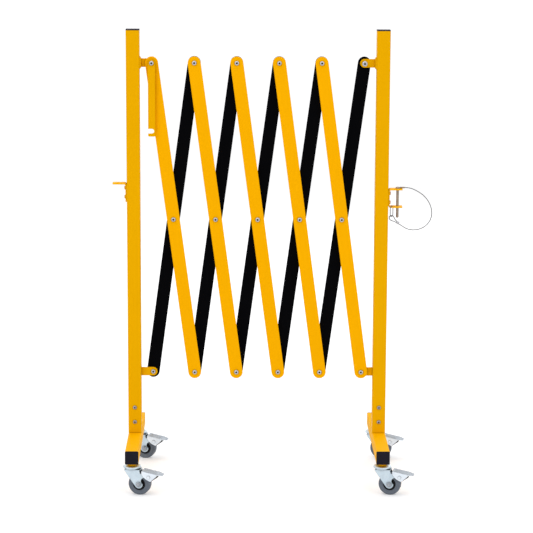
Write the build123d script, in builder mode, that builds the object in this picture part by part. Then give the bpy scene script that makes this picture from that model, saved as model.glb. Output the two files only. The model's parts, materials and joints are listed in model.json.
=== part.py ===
from build123d import *
import os
from math import acos, asin, atan2, cos, pi, radians, sin, tan

# An expandable safety barrier: two posts on castored feet, joined by a lattice of
# crossed flat arms. +X runs along the barrier, +Y away from the viewer, +Z up, and
# the origin is on the floor at the middle of the whole. Millimetres.

# Lattice
cells = 5
arm_length = 712.0  # from end pivot to end pivot
arm_width = 29.0
arm_thickness = 5.0
arm_edge_round = 0.8
rest_pitch = 95.0  # from one top pivot to the next, as the barrier stands here
closed_pitch = 30.4  # the same with the lattice pushed together
tab_thickness = 5.0  # brackets lie between the two layers of arms
tab_width = 19.0
washer_space = 1.0
bracket_reach = 27.0  # from a post's inner face to the end pivots

# Posts
post_side = 30.0
post_wall = 1.5
post_corner = 2.5
post_foot_room = 136.15  # below the slider's pivot at its lowest
top_pivot_drop = 72.5  # below the post's top
slot_clearance = 0.5
slot_low_room = 14.0  # slot below the lowest slider pivot
slot_high_room = 364.0  # slot above it
slide_gap = 0.3
slider_height = 40.0
bracket_plate = 3.0
bracket_plate_width = 26.0
bracket_plate_height = 24.0
cap_thickness = 2.0
cap_plug = 12.0
cap_plug_wall = 2.0

# Feet
foot_bottom = 73.0
foot_length = 350.0
spigot_height = 85.0
spigot_wall = 2.0
spigot_gap = 0.3
foot_bolt_low = 26.0  # above the post's lower end
foot_bolt_spacing = 34.0
boss_radius = 9.0
boss_height = 7.7

# Fasteners
bolt_radius = 3.0
bolt_hole_gap = 0.1
open_pivot_gap = 0.6  # the pivots B1 to B4 of the lattice, which close the loops
running_gap = 0.1
thread_gap = 0.05
bolt_head_radius = 5.25
bolt_head_height = 3.3
head_round = 2.2
socket_across = 4.0
socket_depth = 2.0
nut_across = 10.0
nut_height = 5.0
bolt_end = 1.0  # bolt beyond its nut
spacer_radius = 6.0
washer_radius = 6.0
rear_washer = 1.0
small_bolt_radius = 2.5
small_head_radius = 4.5
small_head_height = 2.8
small_head_round = 1.8
small_socket_across = 3.0
small_nut_across = 8.0
small_nut_height = 4.0
screw_length = 9.0

# Latch
hook_thickness = 3.0
hook_width = 16.0
hook_stand_off = 4.5  # the hook's back clears the bolt heads of the arms
notch_width = 10.7
hook_lip = 6.6
hook_lip_round = 2.6
sleeve_radius = 4.75
catch_head_radius = 6.0  # wider than the notch, which the sleeve passes through
catch_overhang = 0.5

# Connectors on the posts' outer faces
strip_thickness = 3.0
strip_depth = 22.0
strip_bend = 4.5  # along the middle of the strip
strip_reach = 32.0
strip_end_round = 3.0
hook_flange_drop = 344.0  # left flange's middle below the post's top
left_strip_length = 41.0
left_screw_drop = 10.0
catch_flange_drop = 356.0  # right upper flange's middle below the post's top
flange_spacing = 40.0
right_screw_drop = 9.4
screw_spacing = 20.6
pin_out = 21.5
pin_radius = 3.0
pin_length = 66.5  # below its head
pin_hole_gap = 0.1
mating_hole_gap = 0.25
pin_head_radius = 4.75
pin_head_height = 4.0
pin_head_round = 3.0
pin_end_chamfer = 1.0
pin_seat_gap = 0.05
ferrule_radius = 1.9
ferrule_length = 11.0
ferrule_chamfer = 0.5
ring_wire = 0.9
ring_hole_radius = 3.3
ring_hole_out = 11.0
ring_hole_front = 6.6
ring_front_leg_out = 4.5
ring_front_leg_front = 13.4
ring_length = 26.0
ring_seat_gap = 0.5
rope_radius = 1.0
clamp_length = 6.0
clamp_width = 6.6
clamp_depth = 3.8
clamp_bore_gap = 0.05
strand_spacing = 2.5

# Castors, each seen along its axle with the wheel trailing to +x
castor_inset = 22.0  # swivel axis from the end of the foot's tube
castor_yaw = 13.0  # the trailing side turned towards the viewer
wheel_radius = 25.0
trail = 18.0
tyre_half_width = 9.0
tyre_round = 3.5
core_radius = 14.0
core_half_width = 8.5
core_recess = 2.5
core_rib_count = 12
core_rib_width = 1.4
core_rim = 1.6
hub_radius = 6.5
hub_half_width = 10.2
press_gap = 0.02
axle_radius = 3.0
axle_gap = 0.08
axle_head_radius = 5.0
axle_head = 2.4
axle_head_round = 1.0
swivel_gap = 0.3
head_radius = 20.0
head_rim = 4.0
head_rim_round = 1.8
race_radius = 16.0
race_drop = 3.0
yoke_inner = 10.5
yoke_thickness = 2.0
yoke_top_thickness = 3.0
hub_lobe = 9.0
pivot_lobe = 5.0
kingpin_radius = 4.0
kingpin_gap = 0.1
kingpin_head_across = 13.0
kingpin_head = 4.6
kingpin_up = 10.0  # above the tube's underside
yoke_front_out = 15.0
yoke_rear_out = 20.0
ear_up = 50.0  # the ear passes below the pedal's top, also when that is lifted
web_share = 0.38  # how far the fork's front web runs down its front edge
bite_out = 31.0  # the round notch behind the hub
bite_up = 33.0
bite_radius = 8.0
pedal_gap = 0.4
pedal_thickness = 1.5
pedal_top_thickness = 2.0
pedal_pivot_out = 41.0
pedal_pivot_up = 43.0
pedal_rivet = 2.5
pedal_rivet_gap = 0.08
pedal_rivet_head = 3.6
pedal_rivet_head_height = 1.2
pedal_inner_out = 25.0
pedal_inner_up = 56.6
pedal_tip_out = 72.0
pedal_tip_up = 48.0
pedal_vertex_up = 33.0
pedal_tip_half_width = 8.0
pedal_corner = 3.0
taper_share = 0.74  # where the pedal's top begins to narrow, along its length
# Corners of the pedal's skirt and shoe, as shares along the pedal and down to its vertex
skirt_shares = [(0.74, 0.44), (0.43, 1.0), (0.23, 0.81), (0.11, 0.62), (0, 0.32)]
shoe_top_shares = (0.28, 0.72)
shoe_shares = [(0.75, 0.60), (0.45, 1.03), (0.37, 0.93), (0.28, 0.53)]
tooth_gap_shares = [(0.53, 0.95), (0.62, 0.82)]
tooth_gap_radius = 1.0
shoe_half_width = 8.0
shoe_seat_gap = 0.05
cut_over = 2.0  # how far a cut runs past what it cuts

# Rest pose of the lattice
rest_angle = asin(rest_pitch / arm_length)
pivot_height = arm_length * cos(rest_angle)
lowest_pivot = arm_length * cos(asin(closed_pitch / arm_length))
foot_top = foot_bottom + post_side
post_length = top_pivot_drop + lowest_pivot + post_foot_room
post_top = foot_top + post_length
top_z = post_top - top_pivot_drop
bottom_z = top_z - pivot_height
middle_z = top_z - pivot_height / 2
span = cells * rest_pitch + post_side + 2 * bracket_reach
yaw = radians(castor_yaw)
pedal_reach = pedal_tip_out * cos(yaw) + pedal_tip_half_width * sin(yaw)
whole_shift = (post_side / 2 + strip_reach - pedal_reach) / 2
left_x = whole_shift - span / 2
right_x = whole_shift + span / 2
first_pivot_x = left_x + post_side / 2 + bracket_reach
last_pivot_x = right_x - post_side / 2 - bracket_reach

# Layers, counted along Y from the posts' middle plane
layer_inner = tab_thickness / 2 + washer_space
layer_outer = layer_inner + arm_thickness
hook_back = layer_outer + hook_stand_off
hook_front = hook_back + hook_thickness
rear_face = layer_outer + running_gap + rear_washer
BASE = (Align.CENTER, Align.CENTER, Align.MIN)


def level(x, y, z):
    """A level plane at a point, with its normal upwards."""
    return Plane(origin=(x, y, z), x_dir=(1, 0, 0), z_dir=(0, 0, 1))


def facing_viewer(x, y, z):
    """A plane at a point whose normal points to the viewer, with its y upwards."""
    return Plane(origin=(x, y, z), x_dir=(1, 0, 0), z_dir=(0, -1, 0))


def facing_away(x, y, z):
    """A plane at a point whose normal points away from the viewer."""
    return Plane(origin=(x, y, z), x_dir=(-1, 0, 0), z_dir=(0, 1, 0))


def rod(place, radius, length, mode=Mode.ADD):
    """A round bar that stands on a plane, along its normal."""
    with Locations(place):
        Cylinder(radius, length, align=BASE, mode=mode)


def bore(place, radius, length):
    """A round cut that starts just below a plane and runs past the length."""
    rod(place.offset(-cut_over), radius, length + 2 * cut_over, mode=Mode.SUBTRACT)


def prism(place, across, height, mode=Mode.ADD):
    """A hexagonal bar that stands on a plane."""
    with BuildSketch(place) as hexagon:
        RegularPolygon(across / 2, 6, major_radius=False)
    extrude(hexagon.sketch, amount=height, mode=mode)


def washer(place, radius, hole, thickness):
    """A flat ring that stands on a plane."""
    with BuildSketch(place) as ring:
        Circle(radius)
        Circle(hole, mode=Mode.SUBTRACT)
    extrude(ring.sketch, amount=thickness)


def button_bolt(place, shank, length, head, height, rounding, across):
    """A button head that stands on a plane, and its shank below the plane."""
    with BuildSketch(place) as seat:
        Circle(head)
    extrude(seat.sketch, amount=height)
    rim = edges(Select.LAST).filter_by(GeomType.CIRCLE).sort_by(Axis(place.origin, place.z_dir))
    fillet(rim[-1], rounding)
    rod(place.offset(-length), shank, length)
    prism(place.offset(height - socket_depth), across, height, mode=Mode.SUBTRACT)


def nut(place, across, height, shank):
    """A hexagonal nut that stands on a plane, clear of its bolt's thread."""
    with BuildSketch(place) as outline:
        RegularPolygon(across / 2, 6, major_radius=False)
        Circle(shank + thread_gap, mode=Mode.SUBTRACT)
    extrude(outline.sketch, amount=height)


def pivot_bolt(place, front, back, head=bolt_head_radius):
    """A pivot's bolt with its head on the front plane and its nut on the back plane.

    front and back are distances from the posts' middle plane; place is (x, z)."""
    x, z = place
    length = front + back + nut_height + bolt_end
    button_bolt(
        facing_viewer(x, -front, z), bolt_radius, length, head,
        bolt_head_height, head_round, socket_across,
    )
    nut(facing_away(x, back, z), nut_across, nut_height, bolt_radius)


def finish(piece, label):
    """Names a finished piece and writes it."""
    piece.part.label = label
    export_step(piece.part, f"parts/{label}.step")


os.makedirs("parts", exist_ok=True)


# Lattice arms
def arm(label, middle_x, lean, near, far_end_hole, top_hole):
    """One flat arm: lean is 1 where the arm runs down to the right, -1 to the left.

    near is the distance of its back face behind the middle plane."""
    along = (lean * sin(rest_angle), 0, -cos(rest_angle))
    place = Plane(origin=(middle_x, near, middle_z), x_dir=along, z_dir=(0, -1, 0))
    with BuildPart() as flat:
        with BuildSketch(place):
            SlotCenterToCenter(arm_length, arm_width)
        extrude(amount=arm_thickness)
        rims = faces().filter_by(Axis.Y)
        fillet(rims.edges(), arm_edge_round)
        with BuildSketch(place.offset(-cut_over)):
            with Locations((-arm_length / 2, 0)):
                Circle(top_hole)
            Circle(bolt_radius + bolt_hole_gap)
            with Locations((arm_length / 2, 0)):
                Circle(far_end_hole)
        extrude(amount=arm_thickness + 2 * cut_over, mode=Mode.SUBTRACT)
    finish(flat, label)


close_hole = bolt_radius + bolt_hole_gap
open_hole = bolt_radius + open_pivot_gap
for cell in range(cells):
    centre = first_pivot_x + (cell + 0.5) * rest_pitch
    arm(f"yellow_arm_{cell + 1}", centre, 1, -layer_inner, close_hole, close_hole)
    lower_hole = close_hole if cell == 0 else open_hole
    arm(f"black_arm_{cell + 1}", centre, -1, layer_outer, lower_hole, close_hole)


# Pivot bolts, spacers and washers that each yellow arm carries
def pivots_of(cell):
    """The places (x, z) of the inner pivots that hold one yellow arm."""
    left = first_pivot_x + cell * rest_pitch
    places = [(left + rest_pitch / 2, middle_z)]
    if cell > 0:
        places.append((left, top_z))
    if cell < cells - 1:
        places.append((left + rest_pitch, bottom_z))
    return places


for cell in range(cells):
    with BuildPart() as arm_bolts:
        for place in pivots_of(cell):
            pivot_bolt(place, layer_outer, rear_face)
    finish(arm_bolts, f"arm_{cell + 1}_bolts")

    with BuildPart() as arm_spacers:
        for x, z in pivots_of(cell):
            washer(
                facing_away(x, -layer_inner, z), spacer_radius,
                bolt_radius + thread_gap, 2 * layer_inner - running_gap,
            )
            washer(
                facing_away(x, layer_outer + running_gap, z), washer_radius,
                bolt_radius + thread_gap, rear_washer,
            )
    finish(arm_spacers, f"arm_{cell + 1}_spacers")


# End pivots
tab_face = tab_thickness / 2
thin_washer = washer_space - running_gap

with BuildPart() as left_top_bolt:
    pivot_bolt((first_pivot_x, top_z), hook_front + running_gap, tab_face)
    washer(
        facing_viewer(first_pivot_x, -layer_outer - running_gap, top_z), spacer_radius,
        bolt_radius + thread_gap, hook_stand_off - 2 * running_gap,
    )
    washer(
        facing_viewer(first_pivot_x, -tab_face, top_z), washer_radius,
        bolt_radius + thread_gap, thin_washer,
    )
finish(left_top_bolt, "left_top_bolt")

with BuildPart() as left_slider_bolt:
    pivot_bolt((first_pivot_x, bottom_z), tab_face, rear_face)
    washer(
        facing_away(first_pivot_x, tab_face, bottom_z), washer_radius,
        bolt_radius + thread_gap, thin_washer,
    )
    washer(
        facing_away(first_pivot_x, layer_outer + running_gap, bottom_z), washer_radius,
        bolt_radius + thread_gap, rear_washer - thread_gap,
    )
finish(left_slider_bolt, "left_slider_bolt")

catch_front = hook_front + catch_overhang
with BuildPart() as right_top_bolt:
    pivot_bolt((last_pivot_x, top_z), catch_front, rear_face, head=catch_head_radius)
    washer(
        facing_viewer(last_pivot_x, -tab_face, top_z), sleeve_radius,
        bolt_radius + thread_gap, catch_front - tab_face - thread_gap,
    )
    washer(
        facing_away(last_pivot_x, tab_face, top_z), washer_radius,
        bolt_radius + thread_gap, thin_washer,
    )
    washer(
        facing_away(last_pivot_x, layer_outer + running_gap, top_z), washer_radius,
        bolt_radius + thread_gap, rear_washer - thread_gap,
    )
finish(right_top_bolt, "right_top_bolt")

with BuildPart() as right_slider_bolt:
    pivot_bolt((last_pivot_x, bottom_z), layer_outer + running_gap, tab_face)
    washer(
        facing_viewer(last_pivot_x, -tab_face, bottom_z), washer_radius,
        bolt_radius + thread_gap, thin_washer,
    )
finish(right_slider_bolt, "right_slider_bolt")


# Latch hook, hanging from the first top pivot
latch_distance = cells * closed_pitch
with BuildPart() as latch_hook:
    with BuildSketch(facing_viewer(first_pivot_x, -hook_back, top_z)) as hook_outline:
        Circle(hook_width / 2)
        with Locations((0, -latch_distance / 2 - notch_width / 4 - hook_lip / 2)):
            Rectangle(hook_width, latch_distance + notch_width / 2 + hook_lip)
        bottom_corners = hook_outline.vertices().group_by(Axis.Y)[0]
        fillet(bottom_corners, hook_lip_round)
        with Locations((-hook_width / 2, -latch_distance)):
            Rectangle(hook_width, notch_width, mode=Mode.SUBTRACT)
        with Locations((0, -latch_distance)):
            Circle(notch_width / 2, mode=Mode.SUBTRACT)
        Circle(close_hole, mode=Mode.SUBTRACT)
    extrude(amount=hook_thickness)
finish(latch_hook, "latch_hook")


# Posts, their caps and brackets. side is 1 for the left post, whose lattice is at +X
def square_tube(place, side_length, wall, corner, length):
    """A square tube that stands on a plane."""
    with BuildSketch(place) as section:
        RectangleRounded(side_length, side_length, corner)
        inner = side_length - 2 * wall
        RectangleRounded(inner, inner, corner - wall / 2, mode=Mode.SUBTRACT)
    extrude(section.sketch, amount=length)


def foot_bolt_heights():
    low = foot_top + foot_bolt_low
    return [low, low + foot_bolt_spacing]


def screw_heights(side):
    if side > 0:
        high = post_top - hook_flange_drop - left_screw_drop
    else:
        high = post_top - catch_flange_drop - right_screw_drop
    return [high, high - screw_spacing]


def outer_face(x, side, z):
    """A plane on a post's outer face, with its normal pointing outwards."""
    return Plane(origin=(x - side * post_side / 2, 0, z), x_dir=(0, side, 0), z_dir=(-side, 0, 0))


def post(label, x, side):
    with BuildPart() as tube:
        square_tube(level(x, 0, foot_top),
                    post_side, post_wall, post_corner, post_length)
        slot_low = top_z - lowest_pivot - slot_low_room
        slot_width = tab_thickness + 2 * slot_clearance
        slot_length = slot_low_room + slot_high_room
        slot_place = Plane(
            origin=(x + side * (post_side / 2 + cut_over), 0, slot_low + slot_length / 2),
            x_dir=(0, 0, 1), z_dir=(-side, 0, 0),
        )
        with BuildSketch(slot_place):
            SlotOverall(slot_length, slot_width)
        extrude(amount=post_wall + 2 * cut_over, mode=Mode.SUBTRACT)
        for z in foot_bolt_heights():
            bore(facing_viewer(x, post_side / 2, z), small_bolt_radius + bolt_hole_gap, post_side)
        for z in screw_heights(side):
            inner_start = outer_face(x, side, z).offset(-post_wall)
            bore(inner_start, small_bolt_radius + thread_gap, post_wall)
    finish(tube, label)


def plug(place, length):
    """The hollow square plug of a tube's end cap, standing on a plane."""
    inner = post_side - 2 * post_wall - 2 * spigot_gap
    square_tube(place, inner, cap_plug_wall, post_corner, length)


def end_cap(place):
    """A flat square cap on a plane, with its plug on the plane's back."""
    with BuildSketch(place) as plate:
        RectangleRounded(post_side, post_side, post_corner)
    extrude(plate.sketch, amount=cap_thickness)
    plug(place.offset(-cap_plug), cap_plug)


def post_cap(label, x):
    with BuildPart() as cap:
        end_cap(level(x, 0, post_top))
    finish(cap, label)


def tab(x, side, z, start):
    """The flat tab from a distance inside a post's inner face out to a pivot."""
    pivot_x = x + side * (post_side / 2 + bracket_reach)
    with BuildSketch(facing_viewer(pivot_x, tab_face, z)) as outline:
        Circle(tab_width / 2)
        reach = bracket_reach + start
        with Locations((-side * reach / 2, 0)):
            Rectangle(reach, tab_width)
        Circle(close_hole, mode=Mode.SUBTRACT)
    extrude(outline.sketch, amount=tab_thickness)


def top_bracket(label, x, side):
    with BuildPart() as bracket:
        with Locations((x + side * (post_side + bracket_plate) / 2, 0, top_z)):
            Box(bracket_plate, bracket_plate_width, bracket_plate_height)
        fillet(edges().filter_by(Axis.X), post_corner)
        tab(x, side, top_z, 0)
    finish(bracket, label)


def slider(label, x, side):
    inside = post_side - 2 * post_wall - 2 * slide_gap
    with BuildPart() as block:
        with Locations((x, 0, bottom_z)):
            Box(inside, inside, slider_height)
        fillet(edges().filter_by(Axis.Z), post_corner)
        tab(x, side, bottom_z, post_wall + slide_gap + post_corner)
    finish(block, label)


# Feet
def foot(label, x):
    with BuildPart() as frame:
        near_end = facing_away(x, -foot_length / 2, foot_bottom + post_side / 2)
        square_tube(near_end, post_side, post_wall, post_corner, foot_length)
        spigot_side = post_side - 2 * post_wall - 2 * spigot_gap
        square_tube(level(x, 0, foot_top),
                    spigot_side, spigot_wall, post_corner, spigot_height)
        for y in castor_places_y:
            boss_place = level(x, y, foot_bottom - boss_height)
            rod(boss_place, boss_radius, boss_height)
            bore(boss_place, kingpin_radius + thread_gap, boss_height + post_wall)
        for z in foot_bolt_heights():
            bore(facing_viewer(x, post_side / 2, z), small_bolt_radius + bolt_hole_gap, post_side)
    finish(frame, label)


def foot_end_caps(label, x):
    with BuildPart() as caps:
        height = foot_bottom + post_side / 2
        end_cap(facing_viewer(x, -foot_length / 2, height))
        end_cap(facing_away(x, foot_length / 2, height))
    finish(caps, label)


swivel_y = foot_length / 2 - castor_inset
castor_places_y = (-swivel_y, swivel_y)
head_top = foot_bottom - boss_height - swivel_gap
yoke_top = head_top - head_rim - race_drop
kingpin_seat = yoke_top - yoke_top_thickness - running_gap


def fasteners(label, x, side):
    """The bolts of the foot, the screws of the connector and the castors' kingpins."""
    with BuildPart() as bolts:
        for z in foot_bolt_heights():
            length = post_side + small_nut_height + bolt_end
            button_bolt(
                facing_viewer(x, -post_side / 2, z), small_bolt_radius, length,
                small_head_radius, small_head_height, small_head_round, small_socket_across,
            )
            nut(facing_away(x, post_side / 2, z), small_nut_across,
                small_nut_height, small_bolt_radius)
        for z in screw_heights(side):
            button_bolt(
                outer_face(x, side, z).offset(strip_thickness), small_bolt_radius, screw_length,
                small_head_radius, small_head_height, small_head_round, small_socket_across,
            )
        for y in castor_places_y:
            under = level(x, y, kingpin_seat - kingpin_head)
            prism(under, kingpin_head_across, kingpin_head)
            rod(under, kingpin_radius, foot_bottom + kingpin_up - kingpin_seat + kingpin_head)
    finish(bolts, label)


# Connectors, bent from strip
def strip(centre_line, outward_x, side):
    """A bent strip; centre_line holds (distance out of the post's face, z)."""
    with BuildSketch(facing_viewer(outward_x, 0, 0)) as section:
        with BuildLine():
            FilletPolyline([(-side * out, z) for out, z in centre_line], radius=strip_bend)
        trace(line_width=strip_thickness)
    extrude(section.sketch, amount=strip_depth / 2, both=True)
    corners = edges().filter_by(Axis.Z).group_by(Axis.X)
    fillet(corners[0] if side > 0 else corners[-1], strip_end_round)


def screw_holes(x, side):
    for z in screw_heights(side):
        bore(outer_face(x, side, z), small_bolt_radius + thread_gap, strip_thickness)


def pin_hole(x, side, z, radius):
    """A vertical hole through a flange whose middle is at z."""
    out_x = x - side * (post_side / 2 + pin_out)
    bore(level(out_x, 0, z - strip_thickness / 2), radius, strip_thickness)


left_face_x = left_x - post_side / 2
right_face_x = right_x + post_side / 2
hook_flange_z = post_top - hook_flange_drop
upper_flange_z = post_top - catch_flange_drop
lower_flange_z = upper_flange_z - flange_spacing
half_strip = strip_thickness / 2

with BuildPart() as left_connector:
    left_line = [
        (strip_reach, hook_flange_z),
        (half_strip, hook_flange_z),
        (half_strip, hook_flange_z - left_strip_length),
    ]
    strip(left_line, left_face_x, 1)
    screw_holes(left_x, 1)
    pin_hole(left_x, 1, hook_flange_z, pin_radius + mating_hole_gap)
finish(left_connector, "left_connector")

with BuildPart() as right_connector:
    right_line = [
        (strip_reach, upper_flange_z),
        (half_strip, upper_flange_z),
        (half_strip, lower_flange_z),
        (strip_reach, lower_flange_z),
    ]
    strip(right_line, right_face_x, -1)
    screw_holes(right_x, -1)
    for flange_z in (upper_flange_z, lower_flange_z):
        pin_hole(right_x, -1, flange_z, pin_radius + pin_hole_gap)
    ring_hole = level(right_face_x + ring_hole_out, -ring_hole_front, lower_flange_z - half_strip)
    bore(ring_hole, ring_hole_radius, strip_thickness)
finish(right_connector, "right_connector")

# Locking pin with the rope's upper ferrule
pin_x = right_face_x + pin_out
pin_seat_z = upper_flange_z + half_strip + pin_seat_gap
ferrule_z = pin_seat_z + pin_head_height / 2
with BuildPart() as locking_pin:
    rod(level(pin_x, 0, pin_seat_z - pin_length), pin_radius, pin_length)
    chamfer(edges().filter_by(GeomType.CIRCLE).sort_by(Axis.Z)[0], pin_end_chamfer)
    rod(level(pin_x, 0, pin_seat_z), pin_head_radius, pin_head_height)
    fillet(edges().filter_by(GeomType.CIRCLE).sort_by(Axis.Z)[-1], pin_head_round)
    ferrule_x = pin_x + pin_head_radius + thread_gap
    ferrule_start = Plane(origin=(ferrule_x, 0, ferrule_z), x_dir=(0, 1, 0), z_dir=(1, 0, 0))
    rod(ferrule_start, ferrule_radius, ferrule_length)
    chamfer(edges(Select.LAST).filter_by(GeomType.CIRCLE), ferrule_chamfer)
finish(locking_pin, "locking_pin")

# Oblong ring that hangs over the lower flange's front edge
leg_front = Vector(right_face_x + ring_front_leg_out, -ring_front_leg_front, 0)
leg_back = Vector(right_face_x + ring_hole_out, -ring_hole_front, 0)
ring_across = (leg_back - leg_front).length
ring_turn = ring_across / 2
ring_top_z = lower_flange_z + half_strip + ring_seat_gap + ring_wire
ring_high = ring_top_z - ring_turn
ring_low = ring_top_z - (ring_length - 2 * ring_wire) + ring_turn
ring_middle = (leg_front + leg_back) * 0.5
ring_plane = Plane(
    origin=(ring_middle.X, ring_middle.Y, 0),
    x_dir=(leg_back - leg_front).normalized(),
    z_dir=(leg_back - leg_front).normalized().cross(Vector(0, 0, 1)),
)
with BuildPart() as lanyard_ring:
    with BuildLine(ring_plane) as ring_path:
        Line((-ring_turn, ring_low), (-ring_turn, ring_high))
        ThreePointArc((-ring_turn, ring_high), (0, ring_high + ring_turn), (ring_turn, ring_high))
        Line((ring_turn, ring_high), (ring_turn, ring_low))
        ThreePointArc((ring_turn, ring_low), (0, ring_low - ring_turn), (-ring_turn, ring_low))
    with BuildSketch(ring_path.line ^ 0):
        Circle(ring_wire)
    sweep(path=ring_path.line)
finish(lanyard_ring, "lanyard_ring")

# Wire rope from the ferrule, round a wide loop, through the clamp and back as an eye.
# The points are counted from the right post's outer face; the first is the ferrule's end
rope_start_out = ferrule_x + ferrule_length - right_face_x
rope_points = [
    (rope_start_out, 0.0, ferrule_z),
    (48.0, 0.0, ferrule_z),
    (64.0, -1.2, 664.0),
    (79.0, -2.4, 654.5),
    (91.0, -3.8, 641.0),
    (98.0, -5.2, 625.0),
    (99.5, -6.5, 608.0),
    (93.5, -7.6, 592.5),
    (82.0, -8.5, 581.5),
    (68.0, -9.2, 575.8),
    (52.5, -9.7, 575.2),
    (40.5, -10.0, 578.6),
    (29.0, -10.0, 586.35),
    (15.0, -10.0, 594.5),
    (7.0, -10.0, 596.6),
    (1.9, -10.0, 601.0),
    (3.9, -10.0, 607.9),
    (11.6, -10.0, 608.9),
    (16.25, -10.0, 596.67),
    (24.7, -10.0, 591.75),
]
arc_share = 0.45
clamp_run = 12  # the run of the route that the clamp holds, counted from 0
clamp_place_share = 0.34  # the clamp's start along that run


def route(points):
    """The route's points as vectors, and the arc radius at each inner one."""
    corners = [Vector(right_face_x + out, y, z) for out, y, z in points]
    runs = [b - a for a, b in zip(corners, corners[1:])]
    radii = []
    for before, after in zip(runs, runs[1:]):
        half_turn = radians(before.get_angle(after)) / 2
        shorter = min(before.length, after.length)
        radii.append(arc_share * shorter / tan(half_turn))
    return corners, radii


rope_corners, rope_radii = route(rope_points)
with BuildPart() as pin_lanyard:
    with BuildLine() as rope_path:
        FilletPolyline(rope_corners, radius=rope_radii)
    with BuildSketch(rope_path.line ^ 0):
        Circle(rope_radius)
    sweep(path=rope_path.line)
    strand_start = rope_corners[clamp_run]
    strand = rope_corners[clamp_run + 1] - strand_start
    clamp_start = strand_start + strand * clamp_place_share
    strand_side = Vector(0, 1, 0).cross(strand).normalized()
    clamp_plane = Plane(
        origin=clamp_start + strand_side * (strand_spacing / 2),
        x_dir=strand_side,
        z_dir=strand,
    )
    with BuildSketch(clamp_plane) as clamp_section:
        SlotOverall(clamp_width, clamp_depth)
        with Locations((-strand_spacing / 2, 0), (strand_spacing / 2, 0)):
            Circle(rope_radius + clamp_bore_gap, mode=Mode.SUBTRACT)
    extrude(clamp_section.sketch, amount=clamp_length)
finish(pin_lanyard, "pin_lanyard")
rope_length = sum(edge.length for edge in rope_path.edges())
rope_volume = pin_lanyard.solids().sort_by(SortBy.VOLUME)[-1].volume
print("rope length", round(rope_length, 1))
print("rope radii", [round(radius, 1) for radius in rope_radii])
print("rope volume", round(rope_volume, 1))
print("section times length", round(pi * rope_radius**2 * rope_length, 1))


# Castors. One of each piece is made about its swivel axis, trailing to +x
def tangent_point(centre, radius, start, turn):
    """Where a line from start touches a circle; turn is 1 or -1 for the side."""
    dx = start[0] - centre[0]
    dz = start[1] - centre[1]
    away = atan2(dz, dx) + turn * acos(radius / (dx * dx + dz * dz) ** 0.5)
    return (centre[0] + radius * cos(away), centre[1] + radius * sin(away))


hub = (trail, wheel_radius)
pedal_pivot = (pedal_pivot_out, pedal_pivot_up)
yoke_outer = yoke_inner + yoke_thickness
yoke_under = yoke_top - yoke_top_thickness
yoke_front = (-yoke_front_out, yoke_under)
yoke_rear = (yoke_rear_out, yoke_under)
leg_front_foot = tangent_point(hub, hub_lobe, yoke_front, 1)
leg_rear_foot = tangent_point(hub, hub_lobe, yoke_rear, -1)


def both_sides(outline, inner, thickness):
    """The same plate on both sides of the wheel, from a sketch seen along the axle."""
    for start in (inner, -inner - thickness):
        with BuildSketch(facing_viewer(0, -start, 0)) as plate:
            outline()
        extrude(plate.sketch, amount=thickness)


def yoke_plate():
    """The side of the fork: a leg to the hub and an ear to the pedal's pivot."""
    Polygon([(-yoke_front_out, yoke_top), yoke_front, leg_front_foot, hub,
             leg_rear_foot, yoke_rear, (yoke_rear_out, yoke_top)], align=None)
    ear_top = (yoke_rear_out, ear_up)
    Polygon([ear_top, hub, tangent_point(pedal_pivot, pivot_lobe, hub, 1), pedal_pivot,
             tangent_point(pedal_pivot, pivot_lobe, ear_top, -1)], align=None)
    with Locations(hub):
        Circle(hub_lobe)
    with Locations(pedal_pivot):
        Circle(pivot_lobe)
    with Locations((bite_out, bite_up)):
        Circle(bite_radius, mode=Mode.SUBTRACT)
    with Locations(hub):
        Circle(axle_radius + thread_gap, mode=Mode.SUBTRACT)
    with Locations(pedal_pivot):
        Circle(pedal_rivet + pedal_rivet_gap, mode=Mode.SUBTRACT)


with BuildPart() as fork_unit:
    rod(level(0, 0, head_top - head_rim), head_radius, head_rim)
    fillet(edges().filter_by(GeomType.CIRCLE).sort_by(Axis.Z)[-1], head_rim_round)
    rod(level(0, 0, yoke_top), race_radius, race_drop)
    with BuildSketch(level((yoke_rear_out - yoke_front_out) / 2, 0, yoke_under)):
        Rectangle(yoke_rear_out + yoke_front_out, 2 * yoke_outer)
    extrude(amount=yoke_top_thickness)
    both_sides(yoke_plate, yoke_inner, yoke_thickness)
    web_run_x = web_share * (leg_front_foot[0] - yoke_front[0])
    web_run_z = web_share * (leg_front_foot[1] - yoke_front[1])
    web_slope = atan2(-web_run_z, web_run_x)
    web_in_x = yoke_thickness * sin(web_slope)
    web_in_z = yoke_thickness * cos(web_slope)
    web_end = (yoke_front[0] + web_run_x, yoke_front[1] + web_run_z)
    with BuildSketch(facing_viewer(0, 0, 0)):
        Polygon([yoke_front, web_end, (web_end[0] + web_in_x, web_end[1] + web_in_z),
                 (yoke_front[0] + web_in_x, yoke_front[1] + web_in_z),
                 (yoke_front[0] + web_in_x, yoke_top), (yoke_front[0], yoke_top)], align=None)
    extrude(amount=yoke_outer, both=True)
    bore(level(0, 0, yoke_under), kingpin_radius + kingpin_gap, head_top - yoke_under)
    head_start = yoke_outer + thread_gap
    for turn in (1, -1):
        if turn > 0:
            head_place = facing_viewer(trail, -head_start, wheel_radius)
        else:
            head_place = facing_away(trail, head_start, wheel_radius)
        rod(head_place, axle_head_radius, axle_head)
        rim = edges(Select.LAST).filter_by(GeomType.CIRCLE).sort_by(Axis.Y)
        fillet(rim[0] if turn > 0 else rim[-1], axle_head_round)
    rod(facing_viewer(trail, head_start, wheel_radius), axle_radius, 2 * head_start)

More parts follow.
